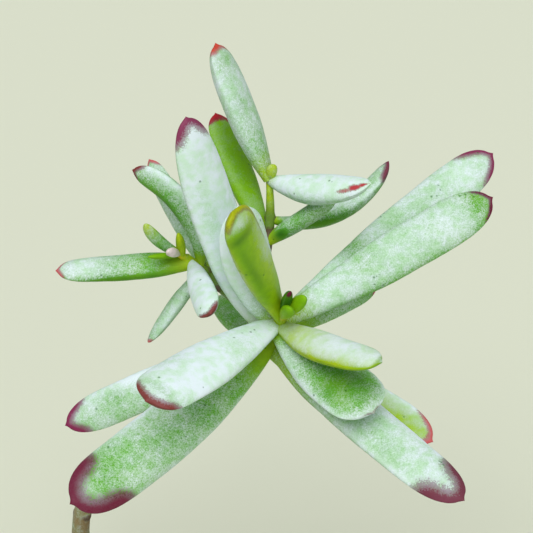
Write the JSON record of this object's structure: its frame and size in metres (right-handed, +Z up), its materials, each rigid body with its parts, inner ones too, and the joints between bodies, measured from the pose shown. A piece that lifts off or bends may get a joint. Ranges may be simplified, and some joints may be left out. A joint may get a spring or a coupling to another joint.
{
  "type": "potted pig ear succulent",
  "caption": "Finger-leaved pig ear succulent: a lax stem leans out of a plain clay pot and ends in a rosette of long, blunt, mealy leaves, with short side shoots.",
  "frame": {"origin": "middle of the flat face that the pot stands on", "axes": "+Z up along the pot's own axis; -Y towards the side that the plant is seen from; +X to that viewer's right, the way the stem leans"},
  "size_m": [0.1619, 0.1049, 0.2644],
  "materials": {
    "clay": "matte",
    "soil": "matte",
    "stem": "matte",
    "young_leaf": "satin",
    "mealy_leaf": "matte"
  },
  "bodies": {
    "root": {"pot": "clay", "soil": "soil", "main_stem": "stem", "left_shoot_stem": "stem", "upper_shoot_stem": "stem", "main_leaf_01_young_up": "young_leaf", "main_leaf_02_young_right": "young_leaf", "main_leaf_03_right": "mealy_leaf", "main_leaf_04_left_forward": "mealy_leaf", "main_leaf_05_up": "mealy_leaf", "main_leaf_06_down_forward": "mealy_leaf", "main_leaf_07_right_back": "mealy_leaf", "main_leaf_08_down_left": "mealy_leaf", "main_leaf_09_up_left": "mealy_leaf", "main_leaf_10_down_right": "mealy_leaf", "main_leaf_11_right_short": "mealy_leaf", "main_leaf_12_left": "mealy_leaf", "main_leaf_13_down_right_back": "mealy_leaf", "main_leaf_14_back": "mealy_leaf", "left_leaf_1_level": "mealy_leaf", "left_leaf_2_forward": "mealy_leaf", "left_leaf_3_curved": "mealy_leaf", "left_leaf_4_thin": "mealy_leaf", "left_leaf_5_up": "mealy_leaf", "upper_leaf_1_tall": "mealy_leaf", "upper_leaf_2_right": "mealy_leaf", "upper_leaf_3_curved": "mealy_leaf", "upper_leaf_4_right_low": "mealy_leaf", "upper_leaf_5_left": "young_leaf"}
  },
  "joints": []
}
